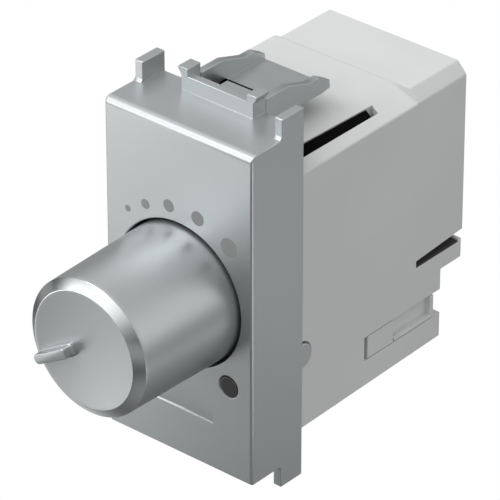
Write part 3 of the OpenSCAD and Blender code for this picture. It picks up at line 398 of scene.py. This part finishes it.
lever_round, hinge_gap = 0.00012, ((-4.44, -1, 20), (4.44, 4.38, 22))
lever = rounded_copy("latch_lever", "silver_latch_lever", lever_round, silver_paint, opening=hinge_gap,
                     reshape=tray_floor)

# Knob. A long push and turn cap of the same painted ABS, slightly tapered, with a bright polished chamfer round
# its dished face. It is pushed on the flatted shaft and held there by a spring ring on its hub.


def turned(form, profile, count=192):
    """Turns a profile of (radius, depth) in millimetres round the knob's axis, and returns its rings."""
    rings = []
    for radius, depth in profile:
        if radius < 1e-6:
            rings.append([form.verts.new((0, depth / 1000, 0))])
            continue
        ring = []
        for i in range(count):
            a = 2 * math.pi * i / count
            ring.append(form.verts.new((radius / 1000 * math.cos(a), depth / 1000, radius / 1000 * math.sin(a))))
        rings.append(ring)
    for one, two in zip(rings, rings[1:]):
        for i in range(count):
            j = (i + 1) % count
            corners = [one[i % len(one)], one[j % len(one)], two[j % len(two)], two[i % len(two)]]
            form.faces.new(list(dict.fromkeys(corners))).smooth = True
    return rings


# Polished smooth, so it shines whiter and sharper than the paint.
polished_chamfer = flake_paint("polished silver chamfer", "#D4D8D9", 0.2, flake=1.0, speck_mm=0.4)
knob_front, knob_rim, dish = -25.9, 7.6, 0.45
face_line = [(knob_rim * f, knob_front + dish * (1 - f * f)) for f in (0, 0.12, 0.25, 0.4, 0.55, 0.7, 0.85, 0.95, 0.99)]
chamfer_line = [(7.62, -25.893), (7.66, -25.868), (8.79, -25.055), (8.83, -25.015)]
side_line = [(8.848, -24.96), (8.862, -24.4), (8.9, -22.75), (9.0, -18.3), (9.1, -13.8), (9.2, -9.3), (9.2, -6.4),
             (9.1, -6.3)]
inner_line = [(8.0, -6.3), (7.9, -6.4), (7.55, -23.4), (7.2, -23.95), (4.2, -23.95), (4.2, -10.7), (4.1, -10.6),
              (3.15, -10.6), (3.05, -10.7), (3.05, -22.4), (0, -22.4)]
knob_form = bmesh.new()
rings = turned(knob_form, face_line + chamfer_line + side_line + inner_line)
chamfer_start = len(face_line) - 1
chamfer_verts = {v for ring in rings[chamfer_start : chamfer_start + len(chamfer_line) + 1] for v in ring}
for face in knob_form.faces:
    if all(v in chamfer_verts for v in face.verts):
        face.material_index = 1
knob = new_piece("silver_knob", knob_form, [silver_paint, polished_chamfer], "knob")
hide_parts("knob")

# Pointer nib. A slim raised bar moulded on the knob's face on a low step of its own shape, with a round outer
# end. The rims of the bar and of the step carry the chamfer's lighter, shinier material, a painted highlight along
# their rounded edges.
nib_half, nib_tip, nib_tail, nib_corner, nib_aside, nib_front = 0.65, 7.4, 1.9, 0.3, 0.4, -27.2
nib_turn = math.radians(-120)


def nib_outline(grow):
    """Points of the nib's outline, grown by an offset, as (across, outwards) in millimetres."""
    half, tip, tail, corner = nib_half + grow, nib_tip - nib_half, nib_tail - grow, max(nib_corner + grow, 0.05)
    points = [(half * math.cos(math.radians(a)), tip + half * math.sin(math.radians(a))) for a in range(0, 181, 12)]
    for side, angles in ((-1, range(180, 271, 18)), (1, range(270, 361, 18))):
        points += [(side * (half - corner) + corner * math.cos(math.radians(a)),
                    tail + corner + corner * math.sin(math.radians(a))) for a in angles]
    return points


# Each ring of the nib has the growth of its outline and its level in millimetres, from the knob's face or, where
# the last word is False, from the nib's front.
nib_levels = [(0.24, 0.03, True), (0.23, -0.03, True), (0.21, -0.08, True), (0.20, -0.42, True), (0.185, -0.475, True),
              (0.15, -0.5, True), (0.06, -0.51, True), (0.02, -0.53, True), (0.0, -0.58, True), (0.0, 0.1, False),
              (-0.012, 0.05, False), (-0.035, 0.015, False), (-0.08, 0.0, False)]
# The bands of the rims that get the lighter chamfer material, as a painted highlight.
highlight_rims = (3, 4, 9, 10, 11)
nib_form = bmesh.new()
rings = []
for grow, level, on_face in nib_levels:
    ring = []
    for across, outwards in nib_outline(grow):
        across += nib_aside
        radius = math.hypot(across, outwards)
        depth = knob_front + dish * (1 - (radius / knob_rim) ** 2) + level if on_face else nib_front + level
        x = across * math.cos(nib_turn) + outwards * math.sin(nib_turn)
        z = outwards * math.cos(nib_turn) - across * math.sin(nib_turn)
        ring.append(nib_form.verts.new((x / 1000, depth / 1000, z / 1000)))
    rings.append(ring)
for level, (one, two) in enumerate(zip(rings, rings[1:])):
    for i in range(len(one)):
        j = (i + 1) % len(one)
        face = nib_form.faces.new((one[i], one[j], two[j], two[i]))
        face.smooth = True
        face.material_index = 1 if level in highlight_rims else 0
nib_form.faces.new(rings[-1]).smooth = True
nib_form.faces.new(rings[0][::-1])
new_piece("pointer_nib", nib_form, [silver_paint, polished_chamfer], "knob")

# Housing. A closed box of pale grey polycarbonate with a fine spark-eroded grain, open only at its cooling
# slot, at the slot over the shelf and at the side windows that hold the terminal block.


def moulded_plastic(name, colour, roughness, grain_mm=0.12, bump_mm=0.004):
    """Moulded plastic with the faint grain that the mould leaves, and a tone that wanders a little over it.

    The real grain is about 0.05 mm wide, and is drawn coarser for it to show.
    """
    clouds_mm, tone_swing, rough_swing = 16.67, 0.025, 0.04
    material = bpy.data.materials.new(name)
    material.use_nodes = True
    tree = material.node_tree
    shader = tree.nodes["Principled BSDF"]
    shader.inputs["IOR"].default_value = 1.55
    place = add_node(tree, "ShaderNodeTexCoord")
    grain = add_node(tree, "ShaderNodeTexNoise",
                     {"Vector": place.outputs["Object"], "Scale": 1000 / grain_mm, "Detail": 3.0})
    cloud = add_node(tree, "ShaderNodeTexNoise",
                     {"Vector": place.outputs["Object"], "Scale": 1000 / clouds_mm, "Detail": 3.0})
    level = add_node(tree, "ShaderNodeMapRange",
                     {"Value": cloud.outputs[0], "From Min": 0.35, "From Max": 0.65, "To Min": 1 - tone_swing,
                      "To Max": 1 + tone_swing})
    tint = add_node(tree, "ShaderNodeVectorMath", {0: srgb(colour), "Scale": level.outputs[0]}, operation="SCALE")
    tree.links.new(tint.outputs[0], shader.inputs["Base Color"])
    rough = add_node(tree, "ShaderNodeMapRange",
                     {"Value": cloud.outputs[0], "From Min": 0.35, "From Max": 0.65,
                      "To Min": roughness - rough_swing, "To Max": roughness + rough_swing})
    tree.links.new(rough.outputs[0], shader.inputs["Roughness"])
    bump = add_node(tree, "ShaderNodeBump", {"Height": grain.outputs[0], "Strength": 0.3, "Distance": bump_mm / 1000})
    tree.links.new(bump.outputs[0], shader.inputs["Normal"])
    return material


# A cool pale grey, even and almost matt.
pale_plastic = moulded_plastic("pale grey polycarbonate", "#D6D8D7", 0.5)
housing_round = 0.0002
housing_fine = [((7, -1, 14), (10.2, 17, 18.2), 0.25), ((-12, 11.5, -15.8), (12, 27.5, -11.5), 0.2),
                ((-12, 21.8, -7.2), (12, 32, -5), 0.4), ((-12, 14, 16), (12, 22.5, 18.2), 0.4)]
housing = rounded_copy("housing_shell", "pale_housing", housing_round, pale_plastic, housing_fine)

# Terminal block. Moulded in the same polycarbonate as the housing, with three wire entries at the rear. It slides
# into the housing from behind and locks with its two side tongues.
block_round = 0.00005
block = rounded_copy("terminal_block", "pale_terminal_block", block_round, pale_plastic, segments=2)

# Slot strip. A black strip that lies on the shelf over the terminals, a dark sheet put there as painted shade for the
# dark inside of the slot. It is as dull as card, so it shows as a dark grey in the slot.


def dress(node, material):
    """Gives a carried-over CAD node its material."""
    piece = frame["nodes"][node]
    if not piece.data.materials:
        piece.data.materials.append(material)
    for holder in piece.material_slots:
        holder.material = material


# Near black and dull as card: painted shade for the dark inside of the slot.
shade_strip_black = moulded_plastic("black painted shade strip", "#454645", 0.85)
shade_strip_black.node_tree.nodes["Principled BSDF"].inputs["Specular IOR Level"].default_value = 0.15
dress("slot_strip", shade_strip_black)

# Pilot window. A small smoked polycarbonate lens set in from behind, flush with the front, with a fine paler
# ring where its edge meets the paint.

# The smoked plastic lets so little light back that it is a flat charcoal with a smooth shine.
smoked_lens = moulded_plastic("smoked polycarbonate", "#3A3A3A", 0.22, bump_mm=0.001)
lens_edge = moulded_plastic("smoked polycarbonate edge", "#565859", 0.3, bump_mm=0.001)
lens_x, lens_z = 0.00766, -0.00986
lens_line = [(0, -9.3), (1.0, -9.3), (1.16, -9.3), (1.3, -9.29), (1.34, -9.25), (1.34, -7.62), (1.74, -7.62),
             (1.74, -6.9), (0, -6.9)]
edge_rings = (2, 3)
lens_form = bmesh.new()
rings = turned(lens_form, lens_line, count=96)
edge_verts = {v for ring in edge_rings for v in rings[ring]}
for face in lens_form.faces:
    if all(v in edge_verts for v in face.verts):
        face.material_index = 1
lens = new_piece("pilot_window", lens_form, [smoked_lens, lens_edge], "chassis")
lens.data.transform(Matrix.Translation((lens_x, 0, lens_z)))
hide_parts("pilot_lens")

# Scale dots. Five dots of rising size, clockwise over the knob, pad printed on the front in mid grey ink. The ink
# is matt, so the dots stay flat and even where the paint round them shines.
dot_ink = moulded_plastic("grey pad ink", "#8B8E8D", 0.85, bump_mm=0.001)
ink_depth, ink_sunk = 0.00002, 0.000007
dot_places = ((-42.3, 11.6, 0.86), (-26.3, 11.4, 1.3), (-7.2, 11.45, 1.65), (14.9, 11.7, 1.9), (40.1, 12.06, 2.45))
dot_y = front_face_y - ink_depth / 2 + ink_sunk
dot_middles, dot_widths = [], []
for angle, radius, width in dot_places:
    a = math.radians(angle)
    dot_middles.append((radius * math.sin(a) / 1000, dot_y, radius * math.cos(a) / 1000))
    dot_widths.append(width / 1000)
dots_tree = bpy.data.node_groups.new("printed dots", "GeometryNodeTree")
dots_tree.interface.new_socket("Middles", in_out="INPUT", socket_type="NodeSocketGeometry")
depth_input = dots_tree.interface.new_socket("Ink depth", in_out="INPUT", socket_type="NodeSocketFloat")
ink_input = dots_tree.interface.new_socket("Ink", in_out="INPUT", socket_type="NodeSocketMaterial")
dots_tree.interface.new_socket("Dots", in_out="OUTPUT", socket_type="NodeSocketGeometry")
given = add_node(dots_tree, "NodeGroupInput")
disc = add_node(dots_tree, "GeometryNodeMeshCylinder",
                {"Vertices": 64, "Radius": 0.5, "Depth": given.outputs["Ink depth"]})
wide = add_node(dots_tree, "GeometryNodeInputNamedAttribute", {"Name": "wide"}, data_type="FLOAT")
size = add_node(dots_tree, "ShaderNodeCombineXYZ", {"X": wide.outputs[0], "Y": wide.outputs[0], "Z": 1.0})
printed = add_node(dots_tree, "GeometryNodeInstanceOnPoints",
                   {"Points": given.outputs["Middles"], "Instance": disc.outputs["Mesh"],
                    "Rotation": (math.pi / 2, 0, 0), "Scale": size.outputs[0]})
real = add_node(dots_tree, "GeometryNodeRealizeInstances", {"Geometry": printed.outputs[0]})
inked = add_node(dots_tree, "GeometryNodeSetMaterial",
                 {"Geometry": real.outputs[0], "Material": given.outputs["Ink"]})
add_node(dots_tree, "NodeGroupOutput", {"Dots": inked.outputs[0]})
dots_mesh = bpy.data.meshes.new("scale_dots")
dots_mesh.from_pydata(dot_middles, [], [])
dots_mesh.attributes.new("wide", "FLOAT", "POINT").data.foreach_set("value", dot_widths)
dots = bpy.data.objects.new("scale_dots", dots_mesh)
scene.collection.objects.link(dots)
printing = dots.modifiers.new("printed dots", "NODES")
printing.node_group = dots_tree
printing[depth_input.identifier] = ink_depth
printing[ink_input.identifier] = dot_ink
dots.data = bpy.data.meshes.new_from_object(dots.evaluated_get(bpy.context.evaluated_depsgraph_get()))
dots.modifiers.clear()
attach(dots, "chassis")

# Latch pin and latch spring. The pin is cut from zinc plated steel wire, and the lever's walls turn on it. The
# leaf under the lever is bright spring steel, and flattens when the tail is pressed down.


def drawn_metal(name, colour, roughness, along="X", line_mm=0.05, length_mm=3.0):
    """Bare or plated metal with the fine lines that drawing, turning or rolling leaves along it.

    The real lines are about 0.01 mm wide, and are drawn coarser for them to show.
    """
    darkest, palest, rough_swing = 0.93, 1.05, 0.06
    material = bpy.data.materials.new(name)
    material.use_nodes = True
    tree = material.node_tree
    shader = tree.nodes["Principled BSDF"]
    shader.inputs["Metallic"].default_value = 1.0
    place = add_node(tree, "ShaderNodeTexCoord")
    scale = [1000 / length_mm if axis == along else 1000 / line_mm for axis in "XYZ"]
    fit = add_node(tree, "ShaderNodeMapping", {"Vector": place.outputs["Object"], "Scale": scale})
    lines = add_node(tree, "ShaderNodeTexNoise", {"Vector": fit.outputs[0], "Scale": 1.0, "Detail": 2.0})
    level = add_node(tree, "ShaderNodeMapRange",
                     {"Value": lines.outputs[0], "From Min": 0.3, "From Max": 0.7, "To Min": darkest,
                      "To Max": palest})
    tint = add_node(tree, "ShaderNodeVectorMath", {0: srgb(colour), "Scale": level.outputs[0]}, operation="SCALE")
    tree.links.new(tint.outputs[0], shader.inputs["Base Color"])
    rough = add_node(tree, "ShaderNodeMapRange",
                     {"Value": lines.outputs[0], "From Min": 0.3, "From Max": 0.7,
                      "To Min": roughness - rough_swing, "To Max": roughness + rough_swing})
    tree.links.new(rough.outputs[0], shader.inputs["Roughness"])
    bump = add_node(tree, "ShaderNodeBump", {"Height": lines.outputs[0], "Strength": 0.25, "Distance": 0.000005})
    tree.links.new(bump.outputs[0], shader.inputs["Normal"])
    return material


# The zinc is a cool pale grey with a satin shine, and the spring steel a darker grey with a keener one.
zinc_steel = drawn_metal("zinc plated steel", "#BDBFC0", 0.34)
spring_steel = drawn_metal("bright spring steel", "#A9ABAD", 0.26)
dress("latch_pin", zinc_steel)
dress("latch_spring", spring_steel)
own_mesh(frame["nodes"]["latch_spring"])

# Shaft. A turned aluminium shaft with a flat for the knob, in a turned brass bushing that a plated nut and washer
# hold in the plate. A steel clip keeps the shaft in, and a ring of spring steel grips the knob's hub.
dress("control_shaft", drawn_metal("turned aluminium", "#C9CBCD", 0.28, along="Y"))
dress("bushing", drawn_metal("turned brass", "#C9A65E", 0.25, along="Z"))
for node in ("bushing_nut", "bushing_washer"):
    dress(node, zinc_steel)
for node in ("shaft_clip", "knob_grip_ring"):
    dress(node, spring_steel)

# Dimming control. A cup of black glass filled nylon on a board of brown phenolic paper. An ivory acetal rotor
# carries the brass wiper round the printed carbon track, and plated pins run back into the front circuit board.
black_mould = moulded_plastic("black glass filled nylon", "#202124", 0.5)
ivory_mould = moulded_plastic("natural acetal", "#E4DFCF", 0.4)
brass_bar = drawn_metal("rolled brass", "#C8A45C", 0.3, along="Y")
dress("pot_cup", black_mould)
dress("wiper_rotor", ivory_mould)
dress("wiper_contact", brass_bar)
dress("track_board", moulded_plastic("phenolic paper board", "#8A5A33", 0.45, grain_mm=0.3))
dress("resistive_track", moulded_plastic("carbon ink", "#141414", 0.6))
dress("pot_pins", zinc_steel)

# Push switch. A black nylon body with an ivory acetal plunger, brass contacts and a spring of drawn steel wire,
# which shortens along the shaft when the knob is pushed.
dress("switch_body", black_mould)
dress("switch_plunger", ivory_mould)
dress("switch_contacts", brass_bar)
dress("return_spring", spring_steel)
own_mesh(frame["nodes"]["return_spring"])

# Terminals. Steel cages and captive screws, drawn down on contact bars of rolled brass. The cages are passivated
# and look a little yellow and dull, and the plated screws are brighter.
cage_steel = drawn_metal("passivated steel cage", "#B4B6B2", 0.4, along="Y")
screw_steel = drawn_metal("zinc plated screw", "#C2C4C5", 0.3, along="Z")
for number in "123":
    dress("clamp_cage_" + number, cage_steel)
    dress("terminal_screw_" + number, screw_steel)
dress("contact_bars", brass_bar)

# Carrier plate. It is moulded in mid grey ABS, closes the bezel's back, and carries the bushing. Under the latch it
# shows a little darker than the housing.
dress("carrier_plate", moulded_plastic("grey moulded ABS", "#A9ABA9", 0.5))

# Light guide and lamp. The guide of clear acrylic takes the light of a small round lamp, cast in milky epoxy, to
# the pilot window.


def clear_plastic(name, colour, clearness):
    """Cast clear plastic, a little cloudy inside."""
    clouds_mm, darkest, smoothest, roughest = 1.25, 0.95, 0.08, 0.16
    material = bpy.data.materials.new(name)
    material.use_nodes = True
    tree = material.node_tree
    shader = tree.nodes["Principled BSDF"]
    shader.inputs["IOR"].default_value = 1.49
    shader.inputs["Transmission Weight"].default_value = clearness
    place = add_node(tree, "ShaderNodeTexCoord")
    cloud = add_node(tree, "ShaderNodeTexNoise",
                     {"Vector": place.outputs["Object"], "Scale": 1000 / clouds_mm, "Detail": 2.0})
    level = add_node(tree, "ShaderNodeMapRange",
                     {"Value": cloud.outputs[0], "From Min": 0.3, "From Max": 0.7, "To Min": darkest,
                      "To Max": 1.0})
    tint = add_node(tree, "ShaderNodeVectorMath", {0: srgb(colour), "Scale": level.outputs[0]}, operation="SCALE")
    tree.links.new(tint.outputs[0], shader.inputs["Base Color"])
    rough = add_node(tree, "ShaderNodeMapRange",
                     {"Value": cloud.outputs[0], "From Min": 0.3, "From Max": 0.7, "To Min": smoothest,
                      "To Max": roughest})
    tree.links.new(rough.outputs[0], shader.inputs["Roughness"])
    return material


dress("light_pipe", clear_plastic("clear acrylic", "#F4F4F0", 0.9))
dress("indicator_led", clear_plastic("diffused lamp epoxy", "#F2EEDC", 0.5))

# Circuit boards. Glass epoxy boards under a glossy green solder resist, with a moulded black controller, chip
# resistors and a round fuse soldered to them.
board_green = moulded_plastic("green solder resist", "#1F5A36", 0.35, grain_mm=0.25)
for node in ("front_board", "main_board"):
    dress(node, board_green)
for node in ("controller_chip", "chip_resistors", "round_fuse"):
    dress(node, black_mould)

# Power switch. Its black body is screwed on a grey silicone pad to a plate of black anodised aluminium, whose edge
# stands in the cooling slot. The plate is made darker and duller than the anodising, as painted shade, so the slot
# looks deep black.
anodised_black_and_shade = moulded_plastic("black anodised aluminium with painted shade", "#060606", 0.9)
anodised_black_and_shade.node_tree.nodes["Principled BSDF"].inputs["Specular IOR Level"].default_value = 0.06
dress("triac", black_mould)
dress("insulating_pad", moulded_plastic("grey silicone pad", "#9AA0A8", 0.6))
dress("triac_screw", zinc_steel)
dress("heat_sink", anodised_black_and_shade)

# Choke and capacitors. Enamelled copper wire wound on a ring of dark sintered ferrite, a film capacitor in a
# glossy yellow epoxy case, and a can in a dark shrink sleeve.
dress("choke_core", moulded_plastic("sintered ferrite", "#2C302A", 0.6, grain_mm=0.2))
dress("choke_winding", drawn_metal("enamelled copper wire", "#B4602E", 0.3))
dress("film_capacitor", moulded_plastic("yellow epoxy case", "#C9A23A", 0.3))
dress("can_capacitor", moulded_plastic("dark shrink sleeve", "#1D2233", 0.3))
